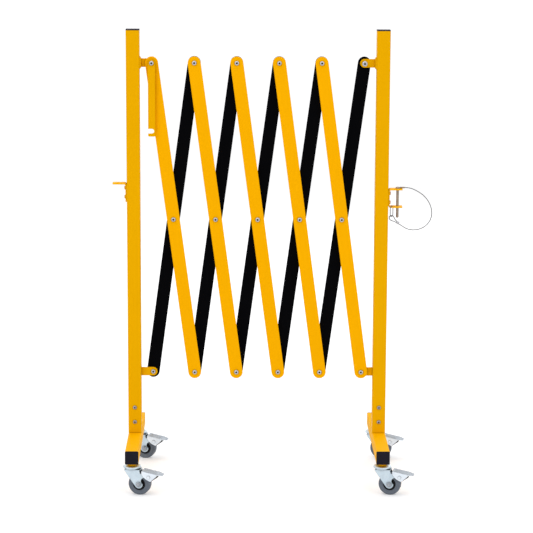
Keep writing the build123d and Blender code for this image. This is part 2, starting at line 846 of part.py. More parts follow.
with BuildPart() as wheel_unit:
    rod(facing_viewer(trail, core_half_width, wheel_radius), core_radius, 2 * core_half_width)
    recess_outer = core_radius - core_rim
    for recess_start in (core_half_width - core_recess, -core_half_width):
        with BuildSketch(facing_viewer(trail, -recess_start, wheel_radius)) as recess:
            Circle(recess_outer)
            Circle(hub_radius, mode=Mode.SUBTRACT)
            with PolarLocations((hub_radius + recess_outer) / 2, core_rib_count):
                Rectangle(recess_outer - hub_radius + core_rim, core_rib_width, mode=Mode.SUBTRACT)
        extrude(recess.sketch, amount=core_recess, mode=Mode.SUBTRACT)
    rod(facing_viewer(trail, hub_half_width, wheel_radius), hub_radius, 2 * hub_half_width)
    bore(facing_viewer(trail, hub_half_width, wheel_radius), axle_radius + axle_gap,
         2 * hub_half_width)

with BuildPart() as tyre_unit:
    with BuildSketch(facing_viewer(trail, tyre_half_width, wheel_radius)):
        Circle(wheel_radius)
    extrude(amount=2 * tyre_half_width)
    fillet(edges().filter_by(GeomType.CIRCLE), tyre_round)
    bore(facing_viewer(trail, tyre_half_width, wheel_radius), core_radius + press_gap,
         2 * tyre_half_width)

pedal_run = pedal_tip_out - pedal_inner_out
tip_drop = pedal_inner_up - pedal_tip_up
vertex_drop = pedal_inner_up - pedal_vertex_up
pedal_slope = atan2(tip_drop, pedal_run)
skirt_inner = yoke_outer + pedal_gap
skirt_outer = skirt_inner + pedal_thickness


def pedal_point(along_share, down):
    """A point seen along the axle: a share along the pedal and a drop from its inner end."""
    return (pedal_inner_out + along_share * pedal_run, pedal_inner_up - down)


def skirt():
    """The side of the pedal, which covers the fork's ear."""
    top = [pedal_point(share, share * tip_drop) for share in (0, taper_share)]
    lower = [pedal_point(along, down * vertex_drop) for along, down in skirt_shares]
    Polygon(top + lower, align=None)
    with Locations(pedal_pivot):
        Circle(pedal_rivet + thread_gap, mode=Mode.SUBTRACT)


with BuildPart() as pedal_unit:
    top_plane = Plane(
        origin=(pedal_inner_out, 0, pedal_inner_up),
        x_dir=(cos(pedal_slope), 0, -sin(pedal_slope)),
        z_dir=(sin(pedal_slope), 0, cos(pedal_slope)),
    )
    top_length = pedal_run / cos(pedal_slope)
    with BuildSketch(top_plane) as plan:
        taper_start = taper_share * top_length
        Polygon([(0, -skirt_outer), (taper_start, -skirt_outer),
                 (top_length, -pedal_tip_half_width), (top_length, pedal_tip_half_width),
                 (taper_start, skirt_outer), (0, skirt_outer)], align=None)
        fillet(plan.vertices().group_by(Axis.X)[-1], pedal_corner)
    extrude(amount=-pedal_top_thickness)
    both_sides(skirt, skirt_inner, pedal_thickness)
    under_plate = pedal_top_thickness / cos(pedal_slope) + shoe_seat_gap
    with BuildSketch(facing_viewer(0, shoe_half_width, 0)) as shoe:
        shoe_top = [pedal_point(share, share * tip_drop + under_plate) for share in shoe_top_shares]
        shoe_low = [pedal_point(along, down * vertex_drop) for along, down in shoe_shares]
        Polygon(shoe_top + shoe_low, align=None)
        with Locations(pedal_pivot):
            Circle(pedal_rivet + thread_gap, mode=Mode.SUBTRACT)
        for along, down in tooth_gap_shares:
            with Locations(pedal_point(along, down * vertex_drop)):
                Circle(tooth_gap_radius, mode=Mode.SUBTRACT)
    extrude(shoe.sketch, amount=2 * shoe_half_width)
    rivet_seat = skirt_outer + thread_gap
    rivet_head = pedal_rivet_head_height
    rod(facing_viewer(pedal_pivot_out, rivet_seat, pedal_pivot_up), pedal_rivet, 2 * rivet_seat)
    rod(facing_viewer(pedal_pivot_out, -rivet_seat, pedal_pivot_up), pedal_rivet_head, rivet_head)
    rod(facing_away(pedal_pivot_out, rivet_seat, pedal_pivot_up), pedal_rivet_head, rivet_head)

castor_units = {"fork": fork_unit, "wheel": wheel_unit, "tyre": tyre_unit, "pedal": pedal_unit}
castor_corners = [
    ("left_front", left_x, -swivel_y),
    ("left_rear", left_x, swivel_y),
    ("right_front", right_x, -swivel_y),
    ("right_rear", right_x, swivel_y),
]
for corner, x, y in castor_corners:
    castor_place = Plane(origin=(x, y, 0), x_dir=(cos(yaw), -sin(yaw), 0), z_dir=(0, 0, 1))
    for kind, unit in castor_units.items():
        with BuildPart() as castor_piece:
            with Locations(castor_place):
                add(unit.part)
        finish(castor_piece, f"{corner}_{kind}")

# The two ends of the barrier
for name, x, side in (("left", left_x, 1), ("right", right_x, -1)):
    post(f"{name}_post", x, side)
    post_cap(f"{name}_post_cap", x)
    top_bracket(f"{name}_top_bracket", x, side)
    slider(f"{name}_slider", x, side)
    foot(f"{name}_foot", x)
    foot_end_caps(f"{name}_foot_end_caps", x)
    fasteners(f"{name}_fasteners", x, side)
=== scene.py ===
import json
import math
import bmesh
import bpy
from mathutils import Matrix, Vector


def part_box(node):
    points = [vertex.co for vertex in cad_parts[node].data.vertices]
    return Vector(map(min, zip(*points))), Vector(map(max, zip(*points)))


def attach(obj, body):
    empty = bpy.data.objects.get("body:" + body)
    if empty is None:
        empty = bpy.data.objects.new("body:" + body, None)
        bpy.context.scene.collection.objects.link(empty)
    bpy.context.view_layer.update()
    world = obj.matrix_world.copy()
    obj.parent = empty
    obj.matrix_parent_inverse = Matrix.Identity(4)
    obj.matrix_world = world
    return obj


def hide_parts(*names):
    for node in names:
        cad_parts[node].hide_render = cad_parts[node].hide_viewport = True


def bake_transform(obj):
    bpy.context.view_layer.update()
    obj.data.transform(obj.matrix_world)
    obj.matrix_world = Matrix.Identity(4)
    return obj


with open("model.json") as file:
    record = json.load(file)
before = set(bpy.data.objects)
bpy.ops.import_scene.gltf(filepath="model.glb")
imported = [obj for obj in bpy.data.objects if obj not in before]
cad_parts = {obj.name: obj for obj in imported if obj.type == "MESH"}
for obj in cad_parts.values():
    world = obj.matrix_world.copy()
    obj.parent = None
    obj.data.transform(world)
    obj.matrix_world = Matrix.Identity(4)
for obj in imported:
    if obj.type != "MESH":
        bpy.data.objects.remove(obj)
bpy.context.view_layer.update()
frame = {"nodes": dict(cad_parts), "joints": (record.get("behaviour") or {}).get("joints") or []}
nodes = frame["nodes"]
joints = {joint["name"]: joint for joint in frame["joints"]}

MM = 0.001
UP = Vector((0.0, 0.0, 1.0))
CORNERS = ("left_front", "left_rear", "right_front", "right_rear")


# Materials
BEVEL_SAMPLES = 6
NOOK_SAMPLES = 8
NOISE_LOW, NOISE_HIGH = 0.3, 0.7  # where nearly all of a noise lies
SHARP_EDGE, FLAT_FACE = 0.75, 0.99  # how well a bevelled normal agrees with the real one


class Tree:
    """A node tree that is put together node by node."""

    def __init__(self, tree):
        self.nodes, self.links = tree.nodes, tree.links

    def link(self, output, target):
        self.links.new(output, target)

    def feed(self, value, socket):
        """Links a node's output to a socket, or sets a plain value there."""
        if hasattr(value, "is_output"):
            self.link(value, socket)
        else:
            socket.default_value = value

    def math(self, operation, first, second):
        node = self.nodes.new("ShaderNodeMath")
        node.operation = operation
        self.feed(first, node.inputs[0])
        self.feed(second, node.inputs[1])
        return node.outputs["Value"]

    def vector_math(self, operation, first, second=(0.0, 0.0, 0.0), output="Vector"):
        node = self.nodes.new("ShaderNodeVectorMath")
        node.operation = operation
        self.feed(first, node.inputs[0])
        self.feed(second, node.inputs[1])
        return node.outputs[output]

    def ramp(self, value, from_low, from_high, to_low=0.0, to_high=1.0):
        """A value mapped from one range to another, and held at its ends."""
        node = self.nodes.new("ShaderNodeMapRange")
        self.link(value, node.inputs["Value"])
        for name, number in zip(("From Min", "From Max", "To Min", "To Max"),
                                (from_low, from_high, to_low, to_high)):
            node.inputs[name].default_value = number
        return node.outputs["Result"]

    def seen_directly(self):
        """1 for rays that look at a thing, straight, mirrored or refracted, and 0 for light."""
        rays = self.nodes.new("ShaderNodeLightPath").outputs
        seen = self.math("MAXIMUM", rays["Is Camera Ray"], rays["Is Glossy Ray"])
        return self.math("MAXIMUM", seen, rays["Is Transmission Ray"])


class Shade(Tree):
    """One procedural material on a principled shader."""

    def __init__(self, name):
        self.material = bpy.data.materials.new(name)
        self.material.use_nodes = True
        super().__init__(self.material.node_tree)
        self.shader = self.nodes["Principled BSDF"]
        self.place = self.nodes.new("ShaderNodeTexCoord").outputs["Object"]

    def constant(self, **values):
        """Sets sockets of the shader itself, named with _ for spaces."""
        for name, value in values.items():
            self.shader.inputs[name.replace("_", " ")].default_value = value

    def noise(self, scale, detail, roughness=0.5, stretch=None):
        """Noise with so many features a metre, which may be stretched along the axes."""
        place = self.vector_math("MULTIPLY", self.place, stretch) if stretch else self.place
        node = self.nodes.new("ShaderNodeTexNoise")
        self.link(place, node.inputs["Vector"])
        node.inputs["Scale"].default_value = scale
        node.inputs["Detail"].default_value = detail
        node.inputs["Roughness"].default_value = roughness
        return node.outputs["Fac"]

    def cells(self, scale):
        """The distance to the nearest of scattered points, so many of them a metre."""
        node = self.nodes.new("ShaderNodeTexVoronoi")
        self.link(self.place, node.inputs["Vector"])
        node.inputs["Scale"].default_value = scale
        return node.outputs["Distance"]

    def spread(self, noise, to_low, to_high):
        """Noise that reaches from one value to another."""
        return self.ramp(noise, NOISE_LOW, NOISE_HIGH, to_low, to_high)

    def mix(self, share, first, second):
        """A colour between two, each a colour or another node's output."""
        node = self.nodes.new("ShaderNodeMix")
        node.data_type = "RGBA"
        self.link(share, node.inputs["Factor"])
        for name, colour in (("A", first), ("B", second)):
            socket = [s for s in node.inputs if s.name == name and s.type == "RGBA"][0]
            self.feed(colour if hasattr(colour, "is_output") else (*colour, 1.0), socket)
        return [s for s in node.outputs if s.type == "RGBA"][0]

    def bevel(self, radius):
        """The normal that the surface would have if its edges were rounded."""
        node = self.nodes.new("ShaderNodeBevel")
        node.samples = BEVEL_SAMPLES
        node.inputs["Radius"].default_value = radius
        return node.outputs["Normal"]

    def edges(self, radius):
        """1 on edges within about the radius, 0 on flat faces."""
        real = self.nodes.new("ShaderNodeNewGeometry").outputs["Normal"]
        agreement = self.vector_math("DOT_PRODUCT", self.bevel(radius), real, "Value")
        return self.ramp(agreement, FLAT_FACE, SHARP_EDGE)

    def nooks(self, distance):
        """0 in narrow recesses, 1 in the open."""
        node = self.nodes.new("ShaderNodeAmbientOcclusion")
        node.samples = NOOK_SAMPLES
        node.inputs["Distance"].default_value = distance
        return node.outputs["AO"]

    def distance_along(self, start, direction):
        """How far a point lies from a start along a direction, in metres."""
        offset = self.vector_math("SUBTRACT", self.place, start)
        return self.vector_math("DOT_PRODUCT", offset, direction, "Value")

    def relief(self, layers, edge):
        """Bump from (height output, depth in metres) layers, over rounded edges."""
        normal = self.bevel(edge)
        for height, depth in layers:
            node = self.nodes.new("ShaderNodeBump")
            node.inputs["Distance"].default_value = depth
            self.link(height, node.inputs["Height"])
            self.link(normal, node.inputs["Normal"])
            normal = node.outputs["Normal"]
        self.link(normal, self.shader.inputs["Normal"])

    def colour(self, output):
        self.link(output, self.shader.inputs["Base Color"])

    def rough(self, output):
        self.link(output, self.shader.inputs["Roughness"])


def scaled(colour, share):
    return [share * part for part in colour]


def powder_coat(name, plain, other, at_edges, rough, level, tint=(1.0, 1.0, 1.0)):
    """Baked powder coat: fine orange peel, faint patches and rubs, thinner on the edges, with
    painted shade in its recesses.

    plain and other are what the patches drift between, level is how strongly the coat
    reflects, and tint is the colour of its reflections."""
    rub_share, rub_dulls, edge_share = 0.30, 0.12, 0.45
    speckled, shadow_colour = scaled(plain, 0.93), scaled(plain, 0.45)
    shade = Shade(name)
    patches = shade.ramp(shade.noise(9.0, detail=3.0), 0.35, 0.65)
    speckle = shade.ramp(shade.noise(1500.0, detail=1.0), 0.4, 0.75, to_high=0.35)
    streaks = shade.noise(240.0, detail=3.0, roughness=0.6, stretch=(1.0, 1.0, 0.04))
    rubs = shade.ramp(streaks, 0.60, 0.72)
    # Painted shade: the coat is darkened in narrow recesses, such as round screw heads
    painted_shadow = shade.ramp(shade.nooks(5 * MM), 0.42, 0.85, 0.75, 0.0)
    edges = shade.math("MULTIPLY", shade.edges(0.8 * MM), edge_share)
    body = shade.mix(patches, plain, other)
    body = shade.mix(speckle, body, speckled)
    body = shade.mix(shade.math("MULTIPLY", rubs, rub_share), body, at_edges)
    body = shade.mix(painted_shadow, body, shadow_colour)
    shade.colour(shade.mix(edges, body, at_edges))
    gloss = shade.spread(shade.noise(60.0, detail=3.0), rough - 0.05, rough + 0.07)
    shade.rough(shade.math("ADD", gloss, shade.math("MULTIPLY", rubs, rub_dulls)))
    peel = shade.noise(560.0, detail=2.0, roughness=0.45)
    grain = shade.noise(1700.0, detail=1.0)
    shade.relief([(peel, 0.16 * MM), (grain, 0.04 * MM)], edge=0.7 * MM)
    shade.constant(Specular_IOR_Level=level, Specular_Tint=(*tint, 1.0))
    return shade.material


# Painted shade in recesses: how far recesses reach, the openness between which they darken, and
# the share of the plating's dark colour that is left in them
IN_CORNERS = (7 * MM, 0.30, 0.95, 0.20)
IN_SEAMS = (6 * MM, 0.45, 0.88, 0.10)
IN_SOCKETS = (4 * MM, 0.68, 1.00, 0.03)


def zinc_plate(name, light, dark, rough, edge=0.5 * MM, nook_shade=IN_CORNERS, shaded_part=None, cover=None):
    """Zinc plating with a faint blue cast, drifting spangle and fine handling marks, and with
    painted shade on its edges and in its recesses.

    shaded_part holds a function that makes a mask where shade is painted, and the plating's
    colour there. cover holds one for what hides the plating, with its colour and its roughness."""
    edge_share = 0.5
    spangled, at_edges = scaled(light, 1.12), scaled(dark, 0.62)
    shade = Shade(name)
    cast = shade.spread(shade.noise(55.0, detail=4.0), 0.0, 1.0)
    spangle = shade.ramp(shade.cells(420.0), 0.1, 0.7, to_high=0.30)
    marks = shade.noise(420.0, detail=3.0, roughness=0.6, stretch=(1.0, 1.0, 0.2))
    body = shade.mix(cast, light, dark)
    body = shade.mix(spangle, body, spangled)
    # Painted shade: the plating is darkened on its edges
    body = shade.mix(shade.math("MULTIPLY", shade.edges(0.6 * MM), edge_share), body, at_edges)
    if shaded_part:
        make_mask, colour = shaded_part
        body = shade.mix(make_mask(shade), body, colour)
    # Painted shade: the plating is darkened in recesses, nearly black in sockets
    reach, closed, open_from, left_over = nook_shade
    open_air = shade.ramp(shade.nooks(reach), closed, open_from)
    body = shade.mix(open_air, scaled(dark, left_over), body)
    gloss = shade.spread(marks, rough - 0.06, rough + 0.1)
    if cover:
        make_mask, colour, dull = cover
        mask = make_mask(shade)
        body = shade.mix(mask, body, colour)
        bare = shade.math("SUBTRACT", 1.0, mask)
        gloss = shade.math("ADD", shade.math("MULTIPLY", gloss, bare),
                           shade.math("MULTIPLY", mask, dull))
        shade.link(bare, shade.shader.inputs["Metallic"])
    else:
        shade.constant(Metallic=1.0)
    shade.colour(body)
    shade.rough(gloss)
    grain = shade.noise(2400.0, detail=1.0)
    shade.relief([(marks, 0.03 * MM), (grain, 0.012 * MM)], edge)
    return shade.material


def moulded_plastic(name, plain, other, rough, level, edge=0.5 * MM):
    """Moulded plastic with a spark-eroded grain, whose colour drifts between two."""
    shade = Shade(name)
    drift = shade.ramp(shade.noise(35.0, detail=3.0), 0.35, 0.65)
    shade.colour(shade.mix(drift, plain, other))
    shade.rough(shade.spread(shade.noise(220.0, detail=3.0), rough - 0.06, rough + 0.08))
    grain = shade.cells(1900.0)
    waves = shade.noise(150.0, detail=3.0)
    shade.relief([(grain, 0.04 * MM), (waves, 0.05 * MM)], edge)
    shade.constant(Specular_IOR_Level=level)
    return shade.material


def tyre_rubber(name):
    """Grey wheel rubber with dust, small scuffs and a matt bloom."""
    clean, dusty, scuffed = (0.110, 0.130, 0.162), (0.142, 0.165, 0.200), (0.075, 0.090, 0.112)
    shade = Shade(name)
    dust = shade.ramp(shade.noise(130.0, detail=5.0, roughness=0.6), 0.38, 0.7)
    blotches = shade.ramp(shade.noise(700.0, detail=4.0, roughness=0.7), 0.55, 0.75, to_high=0.5)
    shade.colour(shade.mix(blotches, shade.mix(dust, clean, dusty), scuffed))
    shade.rough(shade.ramp(dust, 0.0, 1.0, 0.5, 0.68))
    grain = shade.noise(900.0, detail=4.0, roughness=0.6)
    shade.relief([(grain, 0.08 * MM)], edge=0.4 * MM)
    shade.constant(Specular_IOR_Level=0.35)
    return shade.material


def drawn_steel(name, light, dark, rough, stretch):
    """Drawn steel with lines along the piece, whose tarnish drifts between two colours."""
    shade = Shade(name)
    lines = shade.noise(900.0, detail=3.0, roughness=0.6, stretch=stretch)
    tarnish = shade.ramp(shade.noise(120.0, detail=3.0), 0.35, 0.7)
    shade.colour(shade.mix(tarnish, light, dark))
    shade.rough(shade.spread(lines, rough - 0.06, rough + 0.12))
    shade.relief([(lines, 0.03 * MM)], edge=0.3 * MM)
    shade.constant(Metallic=1.0)
    return shade.material


YELLOW_GLOSS = (1.0, 0.62, 0.10)
POST_YELLOW = powder_coat("yellow_powder_coat_on_tube", plain=(0.820, 0.402, 0.000),
                          other=(0.800, 0.390, 0.000), at_edges=(0.860, 0.425, 0.001),
                          rough=0.46, level=0.10, tint=YELLOW_GLOSS)
# Painted light: the feet's yellow is the same coat painted lighter, as their tops are lit from
# above; the connectors and the bosses' welds share it
LIT_FOOT_YELLOW = powder_coat("yellow_powder_coat_painted_lit_on_foot", plain=(0.930, 0.462, 0.000),
                          other=(0.910, 0.450, 0.000), at_edges=(0.950, 0.490, 0.002),
                          rough=0.50, level=0.03, tint=YELLOW_GLOSS)
ARM_YELLOW = powder_coat("yellow_powder_coat_on_strip", plain=(0.930, 0.427, 0.000),
                         other=(0.910, 0.415, 0.000), at_edges=(0.950, 0.460, 0.002),
                         rough=0.46, level=0.10, tint=YELLOW_GLOSS)
BLACK = powder_coat("black_powder_coat", plain=(0.0010, 0.0010, 0.0015),
                    other=(0.0016, 0.0016, 0.0022), at_edges=(0.0045, 0.0045, 0.0058),
                    rough=0.55, level=0.015)
CAP_PLASTIC = moulded_plastic("black_cap_plastic", plain=(0.0125, 0.0115, 0.0180),
                              other=(0.0150, 0.0135, 0.0205), rough=0.62, level=0.05)
CORE_PLASTIC = moulded_plastic("black_wheel_plastic", plain=(0.0080, 0.0080, 0.0100),
                               other=(0.0120, 0.0120, 0.0145), rough=0.50, level=0.12)
SPACER_PLASTIC = moulded_plastic("black_washer_plastic", plain=(0.0080, 0.0080, 0.0100),
                                 other=(0.0110, 0.0110, 0.0130), rough=0.50, level=0.10,
                                 edge=0.2 * MM)
ZINC = zinc_plate("zinc_plate", light=(0.560, 0.655, 0.720), dark=(0.450, 0.540, 0.610),
                  rough=0.38)
# Painted shade: a darker copy of the zinc for the ribs on the pedals' tops
SHADED_TREAD_ZINC = zinc_plate("shaded_tread_zinc", light=(0.400, 0.428, 0.462), dark=(0.320, 0.348, 0.380),
                        rough=0.36)
NUT_STEEL = zinc_plate("nut_steel", light=(0.390, 0.415, 0.455), dark=(0.280, 0.300, 0.335),
                       rough=0.30, edge=0.2 * MM)
BOLT_STEEL = zinc_plate("bolt_steel", light=(0.480, 0.480, 0.500), dark=(0.340, 0.340, 0.360),
                        rough=0.30, edge=0.25 * MM, nook_shade=IN_SOCKETS)
RUBBER = tyre_rubber("grey_wheel_rubber")
PIN_STEEL = drawn_steel("pin_steel", light=(0.330, 0.262, 0.200), dark=(0.225, 0.178, 0.142),
                        rough=0.34, stretch=(1.0, 1.0, 0.05))
ROPE_STEEL = drawn_steel("rope_steel", light=(0.190, 0.190, 0.192), dark=(0.130, 0.130, 0.132),
                         rough=0.42, stretch=(1.0, 1.0, 1.0))

# The connectors' screws, all above this height, were painted over with the posts
PAINTED_FROM = 0.5
PAINT_OVER_STEEL = (0.560, 0.250, 0.006)


def painted(shade):
    """Masks the screws that were painted over."""
    height = shade.distance_along((0.0, 0.0, PAINTED_FROM), UP)
    return shade.ramp(height, 0.0, 1 * MM)


FASTENER_STEEL = zinc_plate("fastener_steel", light=(0.360, 0.340, 0.350),
                            dark=(0.260, 0.245, 0.252), rough=0.34, edge=0.25 * MM,
                            nook_shade=IN_SOCKETS, cover=(painted, PAINT_OVER_STEEL, 0.42))


# Each pedal is a zinc pressing, with painted shade on its top, that holds a black shoe between
# its skirts
SHOE_HALF_WIDTH = 8.02 * MM
SHOE_BLACK = (0.012, 0.012, 0.014)
PEDAL_TOP_START = (-16.0 * MM, 13.6 * MM)  # along and up from the pedal's pivot
PEDAL_TOP_FALL = (47.0 * MM, 8.6 * MM)  # the top's run and its fall
PEDAL_PLATE = 2.3 * MM
SHADED_TOP_DEPTH = 0.25 * MM
# Painted shade: the pedals' tops are painted darker, in patches
TOP_SHADE_ZINC = (0.180, 0.204, 0.233)
MASK_BLUR = 0.1 * MM


def pedal_top(corner):
    """The pedal's pivot and axle direction, and its top's start, downhill and upward sides."""
    joint = joints[f"{corner}_pedal_lift"]
    pivot = Vector(joint["pos_m"])
    across = Vector(joint["axis"]).normalized()
    along = UP.cross(across)
    out, rise = PEDAL_TOP_START
    start = pivot + along * out + UP * rise
    run, fall = PEDAL_TOP_FALL
    downhill = (along * run - UP * fall).normalized()
    above = (along * fall + UP * run).normalized()
    return pivot, across, start, downhill, above


def shoe_of(corner):
    """A function that masks the shoe of one castor's pedal."""
    pivot, across, start, _, above = pedal_top(corner)

    def mask(shade):
        side = shade.math("ABSOLUTE", shade.distance_along(pivot, across), 0.0)
        between = shade.ramp(side, SHOE_HALF_WIDTH, SHOE_HALF_WIDTH + MASK_BLUR, 1.0, 0.0)
        depth = shade.distance_along(start, above)
        below = shade.ramp(depth, -PEDAL_PLATE - MASK_BLUR, -PEDAL_PLATE, 1.0, 0.0)
        return shade.math("MULTIPLY", between, below)

    return mask


def shaded_top_of(corner):
    """A function that masks the top of one castor's pedal, in patches, where shade is painted."""
    _, _, start, _, above = pedal_top(corner)

    def mask(shade):
        depth = shade.distance_along(start, above)
        top = shade.ramp(depth, -2 * SHADED_TOP_DEPTH, -SHADED_TOP_DEPTH)
        blotches = shade.ramp(shade.noise(260.0, detail=3.0, roughness=0.6), 0.3, 0.6, to_low=0.70)
        return shade.math("MULTIPLY", top, blotches)

    return mask


PEDAL_ZINC = {}
for corner in CORNERS:
    PEDAL_ZINC[corner] = zinc_plate(f"pedal_zinc_{corner}", light=(0.720, 0.775, 0.830),
                                    dark=(0.610, 0.670, 0.735), rough=0.38, nook_shade=IN_SEAMS,
                                    shaded_part=(shaded_top_of(corner), TOP_SHADE_ZINC),
                                    cover=(shoe_of(corner), SHOE_BLACK, 0.6))


def finish_of(name):
    """The material of a CAD node."""
    if name.startswith("black_arm"):
        return BLACK
    if name.endswith("_spacers"):
        return SPACER_PLASTIC
    if name.endswith("_pedal"):
        return PEDAL_ZINC[name.removesuffix("_pedal")]
    if name.endswith("_fork"):
        return ZINC
    if name.endswith("_fasteners"):
        return FASTENER_STEEL
    if "bolt" in name:
        return BOLT_STEEL
    if name.endswith("_tyre"):
        return RUBBER
    if name.endswith("_wheel"):
        return CORE_PLASTIC
    if "cap" in name:
        return CAP_PLASTIC
    if name == "locking_pin":
        return PIN_STEEL
    if name in ("lanyard_ring", "pin_lanyard"):
        return ROPE_STEEL
    if "arm" in name:
        return ARM_YELLOW
    if name.endswith("_foot") or name.endswith("_connector"):
        return LIT_FOOT_YELLOW
    return POST_YELLOW


for name, node in nodes.items():
    for material_slot in node.material_slots:
        material_slot.material = finish_of(name)
    if not node.material_slots:
        node.data.materials.append(finish_of(name))


# Mesh helpers
def mesh_piece(name, build, material, body, smooth_angle=35.0):
    """A new piece from a function that fills a bmesh. It rides on a body, if one is named.

    Edges that bend by more than the angle, in degrees, are shaded sharp."""
    made = bmesh.new()
    build(made)
    bmesh.ops.recalc_face_normals(made, faces=made.faces)
    mesh = bpy.data.meshes.new(name)
    made.to_mesh(mesh)
    made.free()
    mesh.polygons.foreach_set("use_smooth", [True] * len(mesh.polygons))
    mesh.set_sharp_from_angle(angle=math.radians(smooth_angle))
    mesh.materials.append(material)
    piece = bpy.data.objects.new(name, mesh)
    bpy.context.scene.collection.objects.link(piece)
    if body:
        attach(piece, body)
    return piece


def turns(steps):
    """The angles of so many even steps round a circle."""
    return [2 * math.pi * step / steps for step in range(steps)]


def spin(made, profile, steps, place):
    """Turns a closed profile of (radius, along) round the local Z of a matrix."""
    rings = [[made.verts.new(place @ Vector((radius * math.cos(turn), radius * math.sin(turn),
                                             along)))
              for radius, along in profile]
             for turn in turns(steps)]
    count = len(profile)
    for this, after in zip(rings, rings[1:] + rings[:1]):
        for k in range(count):
            made.faces.new((this[k], after[k], after[(k + 1) % count], this[(k + 1) % count]))


def join_rings(made, rings):
    """A closed solid from rings of corners, one after the other."""
    count = len(rings[0])
    for this, after in zip(rings, rings[1:]):
        for k in range(count):
            beside = (k + 1) % count
            made.faces.new((this[k], this[beside], after[beside], after[k]))
    made.faces.new(list(reversed(rings[0])))
    made.faces.new(rings[-1])


def axle_frame(corner):
    """A matrix at a wheel's middle, whose Z is its axle."""
    joint = joints[f"{corner}_wheel_spin"]
    axis = Vector(joint["axis"]).normalized()
    across = UP.cross(axis).normalized()
    upward = axis.cross(across)
    turned = Matrix((across, upward, axis)).transposed().to_4x4()
    return Matrix.Translation(Vector(joint["pos_m"])) @ turned


def arc(centre, radius, start, end, count):
    """Points of an arc, in degrees, seen in the (radius, along) plane."""
    points = []
    for k in range(count + 1):
        turn = math.radians(start + (end - start) * k / count)
        points.append((centre[0] + radius * math.cos(turn), centre[1] + radius * math.sin(turn)))
    return points


# Tyres, lathed with a mould line, rounded shoulders and a stepped side
TYRE_RADIUS = 25.0 * MM
TYRE_HALF_WIDTH = 9.0 * MM
TYRE_SHOULDER = 3.5 * MM
SHOULDER_STEPS = 7
TYRE_STEPS = 96
# Millimetres out from the axle, and into the side
TYRE_SIDE = [(14.02, 0.7), (15.2, 0.7), (15.6, 0.05), (17.0, 0.0), (17.4, 0.35), (20.2, 0.35),
             (20.6, 0.0)]
# Millimetres into the tread, and from its middle
TYRE_TREAD = [(0.0, 0.9), (0.12, 0.35), (0.12, 0.12), (0.0, 0.0)]


def tyre_profile():
    side = [(radius * MM, TYRE_HALF_WIDTH - depth * MM) for radius, depth in TYRE_SIDE]
    shoulder = arc((TYRE_RADIUS - TYRE_SHOULDER, TYRE_HALF_WIDTH - TYRE_SHOULDER),
                   TYRE_SHOULDER, 90.0, 0.0, SHOULDER_STEPS)
    tread = [(TYRE_RADIUS - depth * MM, along * MM) for depth, along in TYRE_TREAD]
    right = side + shoulder + tread
    left = [(radius, -along) for radius, along in reversed(right[:-1])]
    return right + left


for corner in CORNERS:
    tyre = mesh_piece(f"{corner}_tyre_detail",
                      lambda made: spin(made, tyre_profile(), TYRE_STEPS, axle_frame(corner)),
                      RUBBER, f"{corner}_wheel")
    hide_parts(f"{corner}_tyre")


# Pressed ribs on each pedal's top, darker as painted shade
RIB_PLACES = (-8.4 * MM, -4.2 * MM, 0.0, 4.2 * MM, 8.4 * MM)  # across the pedal
RIB_FROM, RIB_TO = 4.5 * MM, 31.0 * MM  # down the pedal's top
RIB_HALF_WIDTH = 1.1 * MM
RIB_HEIGHT = 0.7 * MM
RIB_SINK = 0.1 * MM
RIB_SIDES = 8
# How far from a rib's end, and how much of the rib's size is reached there
RIB_ENDS = [(0.0, 0.10), (0.5 * MM, 0.62), (1.3 * MM, 0.92), (2.2 * MM, 1.0)]


def pedal_ribs(made, corner):
    _, across, start, downhill, above = pedal_top(corner)
    length = RIB_TO - RIB_FROM
    stations = RIB_ENDS + [(length - out, size) for out, size in reversed(RIB_ENDS)]
    for place in RIB_PLACES:
        rings = []
        for out, size in stations:
            centre = start + downhill * (RIB_FROM + out) + across * place - above * RIB_SINK
            ring = []
            for k in range(RIB_SIDES + 1):
                turn = math.pi * k / RIB_SIDES
                wide = RIB_HALF_WIDTH * size * math.cos(turn)
                high = (RIB_HEIGHT + RIB_SINK) * size * math.sin(turn)
                ring.append(made.verts.new(centre + across * wide + above * high))
            rings.append(ring)
        join_rings(made, rings)


for corner in CORNERS:
    mesh_piece(f"{corner}_pedal_ribs", lambda made: pedal_ribs(made, corner), SHADED_TREAD_ZINC,
               f"{corner}_pedal", smooth_angle=50.0)


# Axle ends: a washer and a nut in front, a washer and a bolt head behind
HUB_FACE = 12.5 * MM  # from the wheel's middle to the fork's outer side
WASHER_RADIUS = 6.9 * MM
WASHER_THICKNESS = 0.9 * MM
WASHER_CHAMFER = 0.25 * MM
WASHER_SINK = 0.05 * MM
NUT_FLAT = 5.2 * MM  # from the nut's middle to a flat
NUT_HEIGHT = 3.0 * MM
NUT_SINK = 0.1 * MM
FLATS_BELOW_CROWN = 0.75 * MM
AXLE_STEPS = 48
# Millimetres out from the axle, and up from the nut's crown
NUT_CHAMFER = [(5.3, -0.28), (4.85, 0.0)]
THREAD_END = [(3.25, 0.0), (3.05, -0.3), (2.85, -0.3), (2.85, 0.7), (2.35, 1.1)]
DISHED_HEAD = [(4.4, -0.25), (2.0, -0.25)]


def hexagon(turn):
    """How far a hexagon reaches at an angle, for a flat at 1."""
    return 1.0 / math.cos((turn + math.pi / 6) % (math.pi / 3) - math.pi / 6)


def turned_solid(made, place, rings):
    """A closed solid round the local Z of a matrix, from (round radius, flat, along) rings."""
    made_rings = []
    for round_radius, flat, along in rings:
        ring = []
        for turn in turns(AXLE_STEPS):
            radius = round_radius + flat * hexagon(turn)
            ring.append(made.verts.new(place @ Vector((radius * math.cos(turn),
                                                       radius * math.sin(turn), along))))
        made_rings.append(ring)
    join_rings(made, made_rings)


